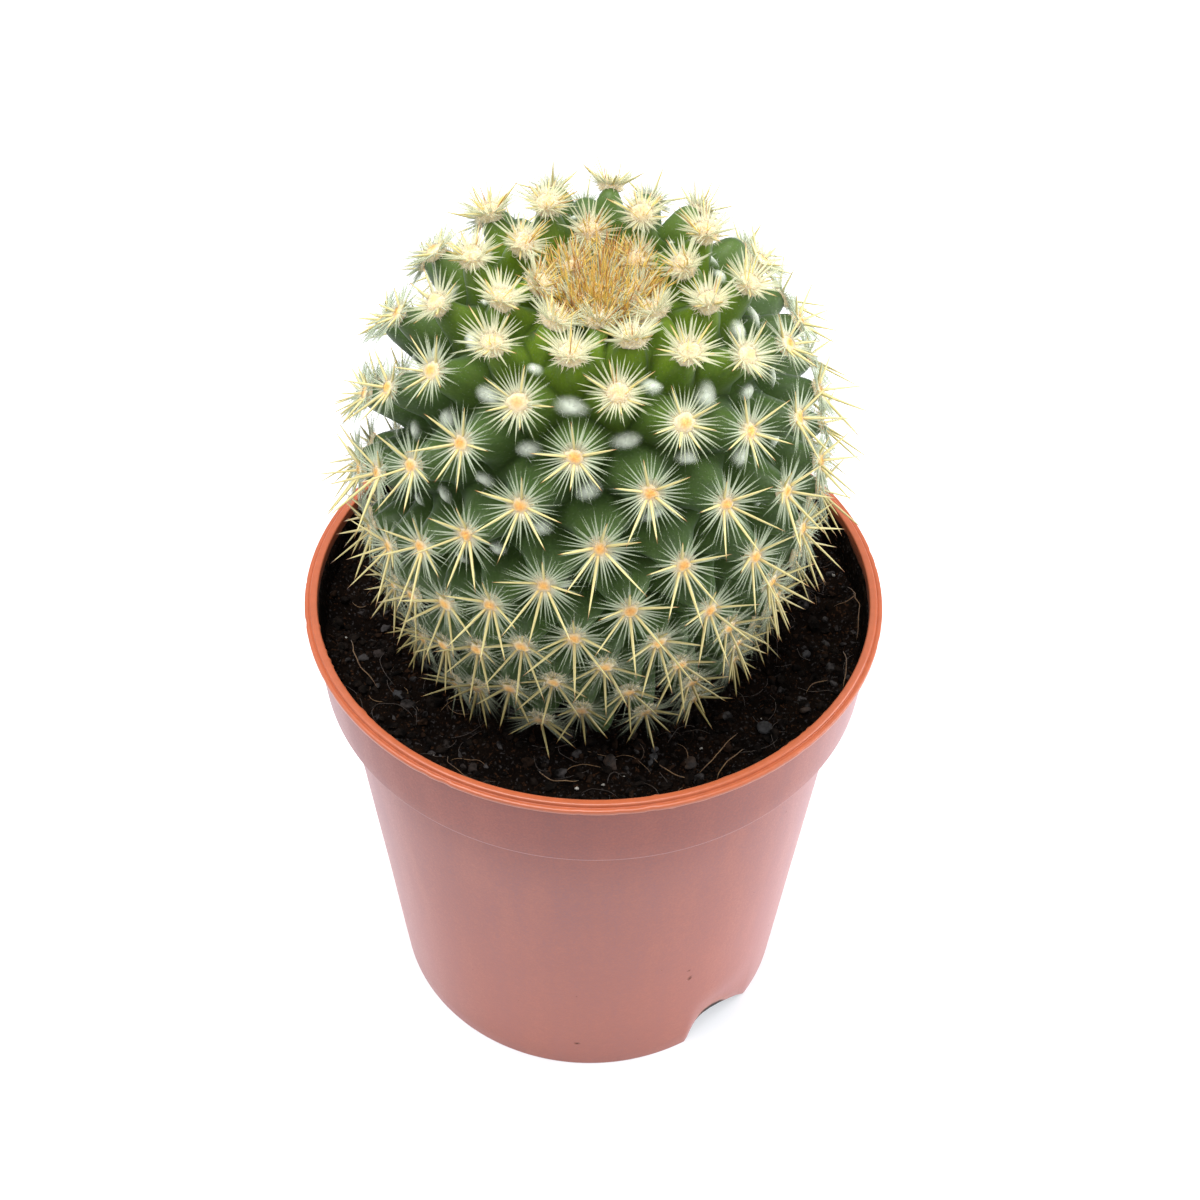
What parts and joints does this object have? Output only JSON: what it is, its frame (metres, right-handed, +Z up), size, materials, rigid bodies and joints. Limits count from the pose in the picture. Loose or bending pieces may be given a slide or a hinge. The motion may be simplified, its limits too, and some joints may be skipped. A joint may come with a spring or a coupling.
{
  "type": "potted globular cactus",
  "caption": "Small round cactus with spiralling tubercles and starry spines, growing in soil in a thin tapered nursery pot.",
  "frame": {"origin": "centre of the ring that the pot stands on", "axes": "+Z up along the pot's axis, -Y towards the front that the picture shows, +X to the right of it"},
  "size_m": [0.055, 0.055, 0.0918],
  "materials": {
    "pot_plastic": "thin satin terracotta-coloured moulded plastic with a pale dusty sheen",
    "potting_soil": null,
    "cactus_flesh": null
  },
  "bodies": {
    "root": {"pot": "pot_plastic", "soil": "potting_soil", "cactus": "cactus_flesh"}
  },
  "joints": []
}
